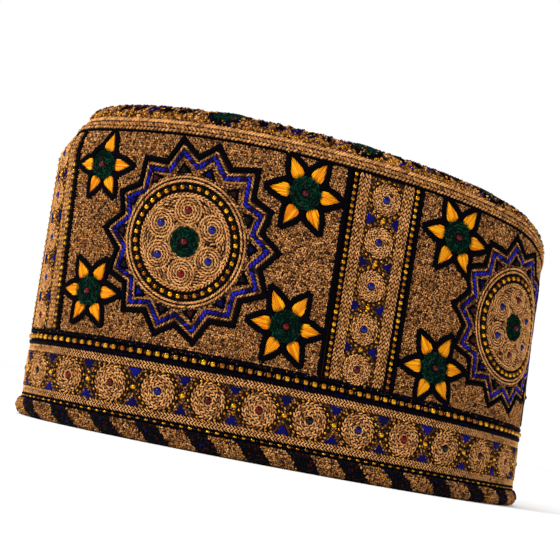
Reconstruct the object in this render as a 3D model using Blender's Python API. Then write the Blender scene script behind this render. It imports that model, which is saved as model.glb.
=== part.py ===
"""Balochi cap: a soft oval cap with an upright embroidered wall, a padded hem and a low crown.

The object is built in metres with +Z up. It stands on its hem and its front looks along -Y.
Every length below is in millimetres and becomes metres only when a mesh is written.
Places on the wall are given flat: `along` is the distance round the rim from the middle of the
front strip, positive to the right as seen from the front, and `height` is the distance up.
"""
import math

import bmesh
import bpy
import numpy as np

MM = 0.001

# Head size and the two ovals that the wall runs between
RIM_LENGTH = 570.0
RIM_OVAL = {"half_length": 114.5, "half_depth": 63.1, "squareness": 2.0, "centre": (0.0, 0.0)}
SEAM_OVAL = {"half_length": 110.1, "half_depth": 65.5, "squareness": 2.5, "centre": (-8.0, -9.3)}
SEAM_HEIGHT = 113.3
SEAM_ARCH = 7.2
SEAM_TILT = -0.029
ARCH_HALF_LENGTH = 116.0
OVAL_STEPS = 720

# At its two ends the soft top bends: down at the right, up and rounded over at the left
END_FROM = 80.0
END_MIDDLE = -6.0
END_DROP = 12.0
END_RISE = 5.0
END_PULL = 0.27
END_PULL_FROM = 105.0
END_ROWS = (98.0, 105.0, 109.0)

# Stations round the cap: one of them is the middle of the front strip
COLUMNS = 72
FRONT_TURN = 0.7861
QUARTERS = 4

# Cloth, padding and the play left between neighbouring pieces
WALL_THICK = 2.6
CROWN_THICK = 2.4
PLAY = 0.35
HEM_TOP = 7.0
WALL_TOP = 118.2

# Crown: share of the way in to the middle, and rise above the crown's foot
CROWN_PROFILE = (
    # inward, rise
    (0.00, 0.0),
    (0.04, 4.2),
    (0.14, 6.9),
    (0.40, 9.4),
    (1.00, 10.3),
)
CROWN_LEAN = -0.0022

# Hem: how far each corner of its section lies out from the wall's face, and how high
HEM_SECTION = (
    # lift, height
    (-3.4, 0.0),
    (1.3, 0.0),
    (2.9, 2.0),
    (2.6, 5.4),
    (0.6, 7.0),
    (-2.8, 7.0),
)

# Trims that run all the way round, from the hem up
ROUND_BANDS = (
    # name, bottom, top, thickness, colour
    ("bead_row_lower", 7.5, 9.2, 0.9, "bead_ground"),
    ("braid_lower", 9.5, 12.5, 1.3, "tan_braid"),
    ("rosette_band", 12.8, 26.3, 0.8, "tan_stitch"),
    ("braid_upper", 26.6, 29.6, 1.3, "tan_braid"),
    ("bead_row_upper", 29.9, 36.0, 0.9, "bead_ground"),
)
BAND_SLOPE = 0.25

# Two cords laid over the seam between wall and crown
CORD_RADIUS = 1.05
CORD_SIDES = 5
CORDS = (
    # name, height
    ("crown_cord_lower", 115.0),
    ("crown_cord_upper", 117.45),
)

# Upright strips between the panels
STRIP_BOTTOM = 36.3
STRIP_TOP = 112.9
STRIP_MIDDLE = 0.5 * (STRIP_BOTTOM + STRIP_TOP)
STRIP_HALF_COLUMNS = 2
STRIP_LIFT = 0.6
STRIP_THICK = 1.0

# Star medallion in the middle of each panel
STAR_POINTS = 14
STAR_TIP = 33.6
STAR_VALLEY = 29.2
STAR_LIFT = 0.8
STAR_RINGS = (
    # radius, points, thickness
    (3.0, 7, 3.4),
    (5.4, 7, 2.2),
    (6.4, 14, 1.0),
    (22.2, 14, 1.0),
    (23.6, 14, 1.7),
    (25.2, 14, 1.0),
)
STAR_MIDDLE_THICK = 3.8
STAR_EDGE_THICK = 0.9
STAR_BACK_RADII = ((12.0, 7), (25.0, 14))

# Flowers in the corners of each panel
FLOWER_TIP = 13.6
FLOWER_SHOULDER = 11.4
FLOWER_SHOULDER_TURN = 0.24
FLOWER_VALLEY = 8.4
FLOWER_BOSS = 5.6
FLOWER_LIFT = 0.6
FLOWER_THICK = 1.0
FLOWER_BOSS_THICK = 2.3
FLOWER_MIDDLE_THICK = 3.0

# Where the stitching lies on each panel, counted to the right from the front strip
PANEL_STARS = (
    # along, height
    (72.3, 75.6),
    (213.75, 75.3),
    (356.25, 75.3),
    (495.6, 75.0),
)
PANEL_FLOWERS = (
    # four to a panel: near side upper and lower, then far side upper and lower
    # along, height, petals, first petal in degrees
    (33.2, 100.1, 6, 0.0),
    (32.6, 49.6, 6, 8.0),
    (111.4, 100.1, 6, 0.0),
    (111.4, 51.5, 6, 0.0),
    (173.9, 100.1, 6, 0.0),
    (173.9, 51.5, 6, 0.0),
    (253.6, 100.1, 6, 0.0),
    (253.6, 51.5, 6, 0.0),
    (316.4, 100.1, 6, 0.0),
    (316.4, 51.5, 6, 0.0),
    (396.1, 100.1, 6, 0.0),
    (396.1, 51.5, 6, 0.0),
    (458.0, 100.3, 5, 72.0),
    (457.6, 51.4, 6, 0.0),
    (539.0, 100.2, 6, 0.0),
    (538.8, 51.6, 6, 0.0),
)

COLOURS = {
    # sRGB red, green, blue, then roughness
    "tan_ground": (0.52, 0.38, 0.25, 0.85),
    "tan_stitch": (0.60, 0.44, 0.29, 0.80),
    "tan_braid": (0.66, 0.48, 0.32, 0.75),
    "tan_cord": (0.68, 0.50, 0.34, 0.75),
    "bead_ground": (0.09, 0.07, 0.12, 0.70),
    "hem_navy": (0.07, 0.06, 0.12, 0.80),
    "star_blue": (0.16, 0.15, 0.50, 0.70),
    "petal_yellow": (0.92, 0.62, 0.12, 0.55),
}


def clear_scene():
    for thing in list(bpy.data.objects):
        bpy.data.objects.remove(thing, do_unlink=True)


def linear(value):
    """One sRGB channel as the linear value that a shader expects."""
    return value / 12.92 if value <= 0.04045 else ((value + 0.055) / 1.055) ** 2.4


def cloth_material(node_name, colour_name):
    red, green, blue, roughness = COLOURS[colour_name]
    material = bpy.data.materials.new(node_name + "_" + colour_name)
    material.use_nodes = True
    shader = material.node_tree.nodes["Principled BSDF"]
    shader.inputs["Base Color"].default_value = (linear(red), linear(green), linear(blue), 1.0)
    shader.inputs["Roughness"].default_value = roughness
    shader.inputs["Metallic"].default_value = 0.0
    material.diffuse_color = (linear(red), linear(green), linear(blue), 1.0)
    return material


def oval_points(oval, turns):
    """Points on an oval at shares of its length, counted anticlockwise from its +X end."""
    angles = np.linspace(0.0, 2.0 * math.pi, OVAL_STEPS + 1)
    power = 2.0 / oval["squareness"]
    cosines, sines = np.cos(angles), np.sin(angles)
    x = oval["half_length"] * np.sign(cosines) * np.abs(cosines) ** power
    y = oval["half_depth"] * np.sign(sines) * np.abs(sines) ** power
    travelled = np.concatenate(([0.0], np.cumsum(np.hypot(np.diff(x), np.diff(y)))))
    reached = np.mod(turns, 1.0) * travelled[-1]
    centre_x, centre_y = oval["centre"]
    return np.interp(reached, travelled, x) + centre_x, np.interp(reached, travelled, y) + centre_y


def seam_rise(x):
    """How far the crown seam lies above its nominal height: arched in the middle and tilted."""
    return SEAM_TILT * x + SEAM_ARCH * (1.0 - (x / ARCH_HALF_LENGTH) ** 2)


def past_end(x):
    """0 along the sides, rising to 1 at the two ends."""
    past = (np.abs(x - END_MIDDLE) - END_FROM) / (ARCH_HALF_LENGTH - END_FROM)
    return np.clip(past, 0.0, 1.1) ** 2


def end_drop(x):
    return np.where(x < 0.0, -END_RISE, END_DROP) * past_end(x)


def end_pull(x, heights):
    """How far the wall's top rounds over at the left end."""
    lean = END_PULL * np.maximum(heights - END_PULL_FROM, 0.0) ** 1.5
    return np.where(x < 0.0, lean, 0.0) * past_end(x)


def wall_face(turns, heights):
    """The wall's outer face, between the rim oval and the seam oval."""
    share = heights / SEAM_HEIGHT
    rim_x, rim_y = oval_points(RIM_OVAL, turns)
    seam_x, seam_y = oval_points(SEAM_OVAL, turns)
    x = rim_x * (1.0 - share) + seam_x * share
    y = rim_y * (1.0 - share) + seam_y * share
    z = heights + share * seam_rise(x) - share ** 4 * end_drop(x)
    return np.stack([x + end_pull(x, heights), y, z], axis=-1)


def unit(vectors):
    return vectors / np.linalg.norm(vectors, axis=-1, keepdims=True)


def wall_points(turns, heights, lifts):
    """Points that lie `lifts` out from the wall's outer face."""
    turns, heights, lifts = np.broadcast_arrays(
        np.asarray(turns, float), np.asarray(heights, float), np.asarray(lifts, float)
    )
    turn_step, height_step = 0.004, 0.5
    round_way = wall_face(turns + turn_step, heights) - wall_face(turns - turn_step, heights)
    up_way = wall_face(turns, heights + height_step) - wall_face(turns, heights - height_step)
    outward = unit(np.cross(round_way, up_way))
    return wall_face(turns, heights) + outward * lifts[..., None]


def crown_face(turns, inward):
    """The crown's outer face, from its foot (inward 0) to its middle (inward 1)."""
    shares = np.array([row[0] for row in CROWN_PROFILE])
    rises = np.array([row[1] for row in CROWN_PROFILE])
    foot_height = WALL_TOP + PLAY
    foot = wall_face(turns, foot_height)
    centre = np.array(SEAM_OVAL["centre"])
    flat = centre + (foot[..., :2] - centre) * (1.0 - inward[..., None])
    rise = np.interp(inward, shares, rises) * (1.0 + CROWN_LEAN * flat[..., 0])
    bend = foot[..., 2] - foot_height - seam_rise(foot[..., 0])
    height = foot_height + seam_rise(flat[..., 0]) + rise + bend * (1.0 - inward) ** 2
    return np.concatenate([flat, height[..., None]], axis=-1)


def crown_ring(turns, inward, depth):
    """One ring of the crown, `depth` below its outer face."""
    if inward == 0.0:
        return wall_points(turns, WALL_TOP + PLAY, -depth)
    step = 0.02
    at = np.full_like(turns, inward)
    round_way = crown_face(turns + 0.004, at) - crown_face(turns - 0.004, at)
    in_way = crown_face(turns, at + step) - crown_face(turns, at - step)
    return crown_face(turns, at) - unit(np.cross(round_way, in_way)) * depth


def station_turns(first=0, last=COLUMNS - 1):
    return FRONT_TURN + np.arange(first, last + 1) / COLUMNS


def turn_at(along):
    return FRONT_TURN + np.asarray(along, float) / RIM_LENGTH


def add_ring(mesh, points):
    return [mesh.verts.new(tuple(point * MM)) for point in points]


def bridge(mesh, first, second, closed=True):
    """Quads between two rings with the same number of points."""
    count = len(first)
    for index in range(count if closed else count - 1):
        following = (index + 1) % count
        mesh.faces.new((first[index], first[following], second[following], second[index]))


def bridge_finer(mesh, coarse, fine):
    """Triangles between two closed rings, the second with a whole multiple of the first's points."""
    ratio = len(fine) // len(coarse)
    half = ratio // 2
    for index in range(len(coarse)):
        here, following = coarse[index], coarse[(index + 1) % len(coarse)]
        start = index * ratio
        for step in range(-half, ratio - half):
            near, far = fine[(start + step) % len(fine)], fine[(start + step + 1) % len(fine)]
            mesh.faces.new((here, near, far))
        turning_point = fine[(start + ratio - half) % len(fine)]
        mesh.faces.new((here, turning_point, following))


def close_with_fan(mesh, middle, ring):
    for index in range(len(ring)):
        mesh.faces.new((middle, ring[index], ring[(index + 1) % len(ring)]))


def finish(mesh, name, colour_name, sharp_degrees=40.0):
    """Turn a bmesh into a named object with smooth rounds, sharp edges and its own material."""
    bmesh.ops.recalc_face_normals(mesh, faces=mesh.faces)
    data = bpy.data.meshes.new(name)
    mesh.to_mesh(data)
    mesh.free()
    data.shade_smooth()
    data.set_sharp_from_angle(angle=math.radians(sharp_degrees))
    data.materials.append(cloth_material(name, colour_name))
    thing = bpy.data.objects.new(name, data)
    bpy.context.scene.collection.objects.link(thing)
    return thing


def ring_of_section(name, section, colour_name):
    """A closed ring round the cap whose section is a list of (lift, height) corners.

    A corner at height 0 lies on the floor, so the ring gets a flat underside there.
    """
    mesh = bmesh.new()
    turns = station_turns()
    rings = []
    for lift, height in section:
        points = wall_points(turns, height, lift)
        if height == 0.0:
            points[:, 2] = 0.0
        rings.append(add_ring(mesh, points))
    for index, ring in enumerate(rings):
        bridge(mesh, ring, rings[(index + 1) % len(rings)])
    return finish(mesh, name, colour_name)


def make_side_wall():
    foot = HEM_TOP + PLAY
    heights = (foot, STRIP_MIDDLE) + END_ROWS + (STRIP_TOP, WALL_TOP)
    outer = [(0.0, height) for height in heights]
    inner = [(-WALL_THICK, height) for _, height in reversed(outer)]
    return ring_of_section("side_wall", outer + inner, "tan_ground")


def make_crown():
    mesh = bmesh.new()
    turns = station_turns()
    skins = []
    for depth in (0.0, CROWN_THICK):
        rings = [add_ring(mesh, crown_ring(turns, inward, depth)) for inward, _ in CROWN_PROFILE[:-1]]
        for lower, upper in zip(rings, rings[1:]):
            bridge(mesh, lower, upper)
        middle = crown_face(turns[:1], np.array([1.0]))[0] - np.array([0.0, 0.0, depth])
        close_with_fan(mesh, mesh.verts.new(tuple(middle * MM)), rings[-1])
        skins.append(rings[0])
    bridge(mesh, skins[0], skins[1])
    return finish(mesh, "crown", "tan_stitch")


def make_round_bands():
    for name, bottom, top, thick, colour_name in ROUND_BANDS:
        section = (
            (PLAY, bottom),
            (PLAY + thick, bottom + BAND_SLOPE),
            (PLAY + thick, top - BAND_SLOPE),
            (PLAY, top),
        )
        ring_of_section(name, section, colour_name)


def make_cords():
    for name, height in CORDS:
        angles = [2.0 * math.pi * (side + 0.5) / CORD_SIDES for side in range(CORD_SIDES)]
        section = [
            (PLAY + CORD_RADIUS * (1.0 + math.cos(angle)), height + CORD_RADIUS * math.sin(angle))
            for angle in angles
        ]
        ring_of_section(name, section, "tan_cord")


def make_strips():
    for quarter in range(QUARTERS):
        middle = quarter * COLUMNS // QUARTERS
        turns = station_turns(middle - STRIP_HALF_COLUMNS, middle + STRIP_HALF_COLUMNS)
        mesh = bmesh.new()
        front = (STRIP_BOTTOM + BAND_SLOPE, STRIP_MIDDLE) + END_ROWS + (STRIP_TOP - BAND_SLOPE,)
        back = (STRIP_TOP,) + END_ROWS[::-1] + (STRIP_MIDDLE, STRIP_BOTTOM)
        corners = [(STRIP_LIFT + STRIP_THICK, height) for height in front]
        corners += [(STRIP_LIFT, height) for height in back]
        rows = [add_ring(mesh, wall_points(turns, height, lift)) for lift, height in corners]
        for index, row in enumerate(rows):
            bridge(mesh, row, rows[(index + 1) % len(rows)], closed=False)
        mesh.faces.new([row[0] for row in rows])
        mesh.faces.new([row[-1] for row in rows])
        finish(mesh, "strip_%d" % (quarter + 1), "tan_braid")


def patch_ring(mesh, along, height, radii, angles, lift):
    """A ring of points round a place on the wall, given by flat radii and angles."""
    sideways = along + radii * np.cos(angles)
    upward = height + radii * np.sin(angles)
    return add_ring(mesh, wall_points(turn_at(sideways), upward, lift))


def even_angles(count, first=0.0):
    return first + np.arange(count) * 2.0 * math.pi / count


def patch_middle(mesh, along, height, lift):
    point = wall_points(turn_at([along]), [height], lift)[0]
    return mesh.verts.new(tuple(point * MM))


def join_rings(mesh, inner, outer):
    if len(inner) == len(outer):
        bridge(mesh, inner, outer)
    else:
        bridge_finer(mesh, inner, outer)


def star_outline():
    """Radii and angles of the zigzag edge, a tip and a valley by turns, a tip first."""
    angles = even_angles(2 * STAR_POINTS, math.pi / 2.0 - math.pi / STAR_POINTS)
    radii = np.where(np.arange(2 * STAR_POINTS) % 2 == 0, STAR_TIP, STAR_VALLEY)
    return radii, angles


def make_stars():
    radii, angles = star_outline()
    first = angles[0]
    for number, (along, height) in enumerate(PANEL_STARS, start=1):
        mesh = bmesh.new()
        face_edge = patch_ring(mesh, along, height, radii, angles, STAR_LIFT + STAR_EDGE_THICK)
        back_edge = patch_ring(mesh, along, height, radii, angles, STAR_LIFT)
        bridge(mesh, face_edge, back_edge)
        face_rings = [
            patch_ring(mesh, along, height, np.full(count, radius), even_angles(count, first),
                       STAR_LIFT + thick)
            for radius, count, thick in STAR_RINGS
        ]
        back_rings = [
            patch_ring(mesh, along, height, np.full(count, radius), even_angles(count, first),
                       STAR_LIFT)
            for radius, count in STAR_BACK_RADII
        ]
        for rings, edge, thick in (
            (face_rings, face_edge, STAR_MIDDLE_THICK),
            (back_rings, back_edge, 0.0),
        ):
            close_with_fan(mesh, patch_middle(mesh, along, height, STAR_LIFT + thick), rings[0])
            for inner, outer in zip(rings, rings[1:] + [edge]):
                join_rings(mesh, inner, outer)
        finish(mesh, "star_medallion_%d" % number, "star_blue")


def flower_outline(petals, first):
    """Radii and angles of the petal edge: tip, shoulder, valley, shoulder for each petal."""
    radii, angles = [], []
    petal_turn = 2.0 * math.pi / petals
    for petal in range(petals):
        middle = first + petal * petal_turn
        for radius, share in (
            (FLOWER_TIP, 0.0),
            (FLOWER_SHOULDER, FLOWER_SHOULDER_TURN),
            (FLOWER_VALLEY, 0.5),
            (FLOWER_SHOULDER, 1.0 - FLOWER_SHOULDER_TURN),
        ):
            radii.append(radius)
            angles.append(middle + share * petal_turn)
    return np.array(radii), np.array(angles)


def make_flowers():
    for number, (along, height, petals, first_degrees) in enumerate(PANEL_FLOWERS, start=1):
        first = math.radians(first_degrees)
        radii, angles = flower_outline(petals, first)
        mesh = bmesh.new()
        face_edge = patch_ring(mesh, along, height, radii, angles, FLOWER_LIFT + FLOWER_THICK)
        back_edge = patch_ring(mesh, along, height, radii, angles, FLOWER_LIFT)
        bridge(mesh, face_edge, back_edge)
        boss = patch_ring(mesh, along, height, np.full(petals, FLOWER_BOSS),
                          even_angles(petals, first), FLOWER_LIFT + FLOWER_BOSS_THICK)
        bridge_finer(mesh, boss, face_edge)
        close_with_fan(
            mesh, patch_middle(mesh, along, height, FLOWER_LIFT + FLOWER_MIDDLE_THICK), boss
        )
        back = patch_ring(mesh, along, height, np.full(petals, FLOWER_BOSS),
                          even_angles(petals, first), FLOWER_LIFT)
        bridge_finer(mesh, back, back_edge)
        close_with_fan(mesh, patch_middle(mesh, along, height, FLOWER_LIFT), back)
        finish(mesh, "flower_%02d" % number, "petal_yellow")


def centre_on_origin():
    """Move every mesh so that the origin lies under the middle of the cap's bounding box."""
    things = [thing for thing in bpy.data.objects if thing.type == "MESH"]
    corners = np.array([tuple(vertex.co) for thing in things for vertex in thing.data.vertices])
    middle = 0.5 * (corners.min(axis=0) + corners.max(axis=0))
    for thing in things:
        for vertex in thing.data.vertices:
            vertex.co.x -= middle[0]
            vertex.co.y -= middle[1]
        thing.data.update()


def main():
    clear_scene()
    make_side_wall()
    make_crown()
    ring_of_section("hem_roll", HEM_SECTION, "hem_navy")
    make_round_bands()
    make_cords()
    make_strips()
    make_stars()
    make_flowers()
    centre_on_origin()


main()
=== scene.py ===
"""The look of the balochi cap: cloth, padding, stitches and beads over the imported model.

Every motif is worked flat, as an embroiderer does, in millimetres: x runs along the rim from the
middle of the front strip, y is the height up, z lifts off the cloth. It is then wrapped onto the
cap. Beads, stitches and strands are each modelled once and strewn in rows.
"""
import math

import bmesh
import bpy
import numpy as np
from mathutils import Matrix, Vector


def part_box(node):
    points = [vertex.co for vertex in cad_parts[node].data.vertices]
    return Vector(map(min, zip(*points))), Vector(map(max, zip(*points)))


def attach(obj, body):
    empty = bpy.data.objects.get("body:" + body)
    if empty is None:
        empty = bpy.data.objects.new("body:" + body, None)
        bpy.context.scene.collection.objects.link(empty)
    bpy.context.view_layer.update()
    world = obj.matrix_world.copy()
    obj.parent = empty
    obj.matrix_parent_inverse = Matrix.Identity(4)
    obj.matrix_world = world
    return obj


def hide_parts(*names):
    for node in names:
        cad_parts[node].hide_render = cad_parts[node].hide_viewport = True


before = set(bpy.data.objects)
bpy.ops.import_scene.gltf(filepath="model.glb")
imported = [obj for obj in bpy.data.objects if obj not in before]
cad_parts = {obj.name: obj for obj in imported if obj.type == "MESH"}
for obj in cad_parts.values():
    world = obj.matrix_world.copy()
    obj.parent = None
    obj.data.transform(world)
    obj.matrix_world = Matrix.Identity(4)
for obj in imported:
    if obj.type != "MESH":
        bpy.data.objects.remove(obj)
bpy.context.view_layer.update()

MM = 0.001
TAU = 2.0 * math.pi
RNG = np.random.default_rng(28)

# The two ovals that the wall runs between, as in the solids
RIM_LENGTH = 570.0
RIM_OVAL = {"half_length": 114.5, "half_depth": 63.1, "squareness": 2.0, "centre": (0.0, 0.0)}
SEAM_OVAL = {"half_length": 110.1, "half_depth": 65.5, "squareness": 2.5, "centre": (-8.0, -9.3)}
SEAM_HEIGHT = 113.3
SEAM_ARCH = 7.2
SEAM_TILT = -0.029
ARCH_HALF_LENGTH = 116.0
OVAL_STEPS = 1440
FRONT_TURN = 0.7861
WALL_THICK = 2.6
BEDDING = 0.9
WALL_TOP = 118.0

# How the cap is bent more than END_FROM away from END_MIDDLE: the seam's drop at the right end and
# its rise at the left, and how strongly and from which height the wall's top rounds over there
END_MIDDLE = -6.0
END_FROM = 80.0
END_DROP = 12.0
END_RISE = 5.0
END_PULL = 0.27
END_PULL_FROM = 105.0

# The crown's foot, its reach from foot to middle, its rise, and how that falls off along x
CROWN_FOOT = 118.2
CROWN_REACH = 65.0
CROWN_RISE = 10.3
CROWN_LEAN = -0.0022
# The two powers of its curve
CROWN_POWERS = (3.25, 0.42)
CROWN_THICK = 2.4

# Heights of the rows on the wall
HEM_TOP = 7.2
LOWER_BEADS = 8.3
LOWER_BRAID = (9.5, 12.2)
ROSETTE_HEIGHT = 19.5
UPPER_BRAID = (26.9, 29.7)
UPPER_BEADS = 32.9
PANEL_BOTTOM = 36.2
PANEL_TOP = 113.1
SEAM_CORDS = (115.0, 117.4)

# Counts round the cap
ROSETTES = 28
HEM_LEAVES = 28
LOWER_BEAD_COUNT = 158
UPPER_BEAD_COUNT = 154
QUARTERS = 4
QUARTER = RIM_LENGTH / QUARTERS
STRIP_HALF = 15.6

PANEL_STARS = (
    # along, height
    (72.3, 75.6),
    (213.75, 75.3),
    (356.25, 75.3),
    (495.6, 75.0),
)
FLOWERS = [
    # along, height, petals, first petal in degrees, size
    (33.4, 100.3, 6, 0.0, 1.0),
    (32.4, 49.4, 6, 6.0, 1.0),
] + [
    (along, height, 6, 0.0, 1.0)
    for along in (111.4, 173.9, 253.6, 316.4, 396.1)
    for height in (100.1, 51.5)
] + [
    (458.0, 100.3, 5, 72.0, 0.88),
    (457.4, 52.6, 6, 0.0, 0.94),
    (539.2, 100.2, 6, 0.0, 1.0),
    (538.8, 51.6, 6, 0.0, 1.0),
]

FIVE_PETALS = (0.0, 73.0, 180.0, 242.0, 298.0)
STAR_TIPS = 14
STAR_REACH = 36.0
LEFT_STAR = 4
# Tips of the left front star, charted in whole mm from its middle: along, height
LEFT_STAR_CHART = (
    (37, 2), (32, 16), (25, 30), (9, 36), (-5, 37), (-19, 29), (-28, 16), (-34, 2), (-30, -14), (-22, -28),
    (-8, -35), (8, -36), (23, -27), (34, -14))
GROUND_PITCH = 0.93
ROSETTE_START = 3.6
HEM_LEAF_PITCH = RIM_LENGTH / HEM_LEAVES
HEM_LEAF_START = -117.3
STRIP_ROSETTES = (105.25, 89.4, 73.1, 56.9, 41.6)
STRIP_LEAN = (1.25, 0.6, 0.2, -0.2, -0.7)
SHOULDER_REACH = 17.0
BOSS_CLIMB = 7.8
CROWN_STROKES = ((-28.5, 2.6), (-22.5, 2.8), (-16.0, 2.6), (14.5, -3.0), (21.0, -2.8))
CROWN_BOSSES = 10
CROWN_BOSS_PITCH = RIM_LENGTH / CROWN_BOSSES
CROWN_BOSS_START = -9.0 - 0.5 * CROWN_BOSS_PITCH
PLAIN_PLACE = 8

# Long, wide and thick: the bead in a rosette and the one on a boss
ROSETTE_BEAD = (2.6, 2.6, 1.6)
BOSS_BEAD = (2.3, 2.3, 1.9)

# Radii of a star's parts, and the beads in its ring
STAR_BOSS = 5.6
SMALL_ROSETTES_OUT = 11.6
SMALL_ROSETTE_RINGS = (1.8, 2.9, 4.0, 5.1)
STAR_CHAIN_INNER = 6.4
STAR_CHAIN_OUTER = 17.1
STAR_BLACK_RINGS = (18.6, 21.0)
STAR_BEAD_RING = 19.8
STAR_BEAD_COUNT = 38
STAR_ROPE_RINGS = (22.1, 23.5)
STAR_VALLEY = 30.2

# Rings of chain stitch in a rosette of the band and of a strip
BAND_ROSETTE_RINGS = (2.4, 4.2, 6.0)
STRIP_ROSETTE_RINGS = (2.2, 3.65, 5.1)

# Beads by place: round the band from the front strip, down a strip, and round a star
ROSETTE_BEADS = (
    "blue_glass", "red_glass", "black_glass", "red_glass", "red_glass", "blue_glass", "red_glass",
    "black_glass", "red_glass", "red_glass", "blue_glass", "red_glass", "red_glass", "black_glass")
STRIP_BEADS = ("blue_glass", "blue_glass", "blue_glass", "blue_glass", "red_glass")
STAR_BEADS = ("red_glass", "blue_glass", "blue_glass", "red_glass", "blue_glass", "blue_glass")

# The photograph's camera, worked out from the rosettes, rows and outlines
CAMERA_AZIMUTH = -0.1472
CAMERA_ELEVATION = -0.0590
CAMERA_DISTANCE = 456.4
CAMERA_AIM_HEIGHT = 47.0
CAMERA_ROLL = 0.1908
FOCAL_PIXELS = 990.3
PICTURE = 560.0
OFFSET_PIXELS = (10.5, 79.1)
SENSOR_WIDTH = 36.0

# Share of the room's light that glass and silk reflect
ROOM_GLOSS = 0.15

COLOURS = {
    "tan_light": "#d69a5c",
    "tan": "#a06a34",
    "tan_dark": "#542e10",
    "tan_shadow": "#180b03",
    # Brown of the backing cloth, darkened as painted shade that shows between the stitches
    "backing_brown_painted_shade": "#3c2210",
    "black_thread": "#030305",
    "black_sheen": "#06050a",
    "navy": "#030336",
    "navy_light": "#0a0a70",
    "blue": "#12128a",
    "blue_light": "#2020a2",
    "maroon": "#440608",
    "yellow": "#d48408",
    "yellow_light": "#eaa60c",
    "orange": "#c46004",
    "green": "#01140d",
    "green_light": "#073222",
    "gold": "#dc9c16",
    "gold_deep": "#8a4a06",
    "bead_red": "#560104",
    "bead_blue": "#020e5c",
    "bead_pink": "#36030f",
    "bead_black": "#020204",
    "cotton_inside": "#b69a74",
    "floor": "#fdfdfd",
}


def hem_centre():
    """Middle of the rim oval in the model's frame, read from the hem's own box."""
    low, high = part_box("hem_roll")
    return 0.5 * (low[0] + high[0]) / MM, 0.5 * (low[1] + high[1]) / MM


RIM_CENTRE = hem_centre()


def oval_table(oval):
    """Shares of the way round an oval, anticlockwise from +X, with the points there."""
    angles = np.linspace(0.0, TAU, OVAL_STEPS + 1)
    power = 2.0 / oval["squareness"]
    cosines, sines = np.cos(angles), np.sin(angles)
    x = oval["half_length"] * np.sign(cosines) * np.abs(cosines) ** power
    y = oval["half_depth"] * np.sign(sines) * np.abs(sines) ** power
    travelled = np.concatenate(([0.0], np.cumsum(np.hypot(np.diff(x), np.diff(y)))))
    return travelled / travelled[-1], x + oval["centre"][0], y + oval["centre"][1]


RIM_TABLE = oval_table(RIM_OVAL)
SEAM_TABLE = oval_table(SEAM_OVAL)


def on_oval(table, turns):
    shares = np.mod(turns, 1.0)
    return np.interp(shares, table[0], table[1]), np.interp(shares, table[0], table[2])


def seam_rise(x):
    return SEAM_TILT * x + SEAM_ARCH * (1.0 - (x / ARCH_HALF_LENGTH) ** 2)


def past_end(x):
    """0 along the cap's sides, rising to 1 at its two ends, where the cloth is bent hardest."""
    past = np.clip((np.abs(x - END_MIDDLE) - END_FROM) / (ARCH_HALF_LENGTH - END_FROM), 0.0, 1.1)
    return past ** 2


def end_drop(x):
    """How far the seam drops at the right end; at the left end it rises a little."""
    return np.where(x < 0.0, -END_RISE, END_DROP) * past_end(x)


def end_pull(x, height):
    """How far the wall's top centimetre rounds over at the left end."""
    lean = END_PULL * np.maximum(height - END_PULL_FROM, 0.0) ** 1.5
    return np.where(x < 0.0, lean, 0.0) * past_end(x)


def wall_face(along, height):
    turns = FRONT_TURN + along / RIM_LENGTH
    share = height / SEAM_HEIGHT
    rim_x, rim_y = on_oval(RIM_TABLE, turns)
    seam_x, seam_y = on_oval(SEAM_TABLE, turns)
    x = rim_x * (1.0 - share) + seam_x * share
    y = rim_y * (1.0 - share) + seam_y * share
    z = height + share * seam_rise(x) - share ** 4 * end_drop(x)
    return np.stack([x + end_pull(x, height), y, z], axis=-1)


def crown_curve():
    """The way up the crown's curve, in mm over its cloth, against the share of the way in."""
    inward = np.linspace(0.0, 1.0, 400) ** 2
    first, second = CROWN_POWERS
    rise = CROWN_RISE * (1.0 - (1.0 - inward) ** first) ** second
    steps = np.hypot(np.diff(inward) * CROWN_REACH, np.diff(rise))
    return np.concatenate(([0.0], np.cumsum(steps))), inward


CROWN_CURVE = crown_curve()
CROWN_TOP = float(CROWN_CURVE[0][-1])


def crown_face(along, climb):
    """The crown's outer face: `climb` is the way up over the cloth from its foot."""
    inward = np.interp(climb, CROWN_CURVE[0], CROWN_CURVE[1])
    foot = wall_face(along, np.full_like(along, CROWN_FOOT))
    centre = np.array(SEAM_OVAL["centre"])
    flat = centre + (foot[..., :2] - centre) * (1.0 - inward[..., None])
    first, second = CROWN_POWERS
    rise = CROWN_RISE * (1.0 - (1.0 - inward) ** first) ** second
    rise *= 1.0 + CROWN_LEAN * flat[..., 0]
    bend = foot[..., 2] - CROWN_FOOT - seam_rise(foot[..., 0])
    height = CROWN_FOOT + seam_rise(flat[..., 0]) + rise + bend * (1.0 - inward) ** 2
    return np.concatenate([flat, height[..., None]], axis=-1)


def lifted(face, along, up, lift, steps=(2.2, 0.5)):
    """Points `lift` out from a face along its normal, which is taken over `steps` of cloth."""
    round_way = face(along + steps[0], up) - face(along - steps[0], up)
    up_way = face(along, up + steps[1]) - face(along, up - steps[1])
    outward = np.cross(round_way, up_way)
    # Straight up at the crown's middle, where the way round has no length
    outward[..., 2] += 1e-6
    outward /= np.linalg.norm(outward, axis=-1, keepdims=True)
    points = face(along, up) + outward * lift[..., None]
    points[..., 0] += RIM_CENTRE[0]
    points[..., 1] += RIM_CENTRE[1]
    points[..., 2] = np.maximum(points[..., 2], 0.0)
    return points * MM


def onto_wall(flat):
    return lifted(wall_face, flat[:, 0], flat[:, 1], flat[:, 2] - BEDDING)


def onto_crown(flat):
    return lifted(crown_face, flat[:, 0], flat[:, 1], flat[:, 2] - BEDDING, (2.2, 0.25))


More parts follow.
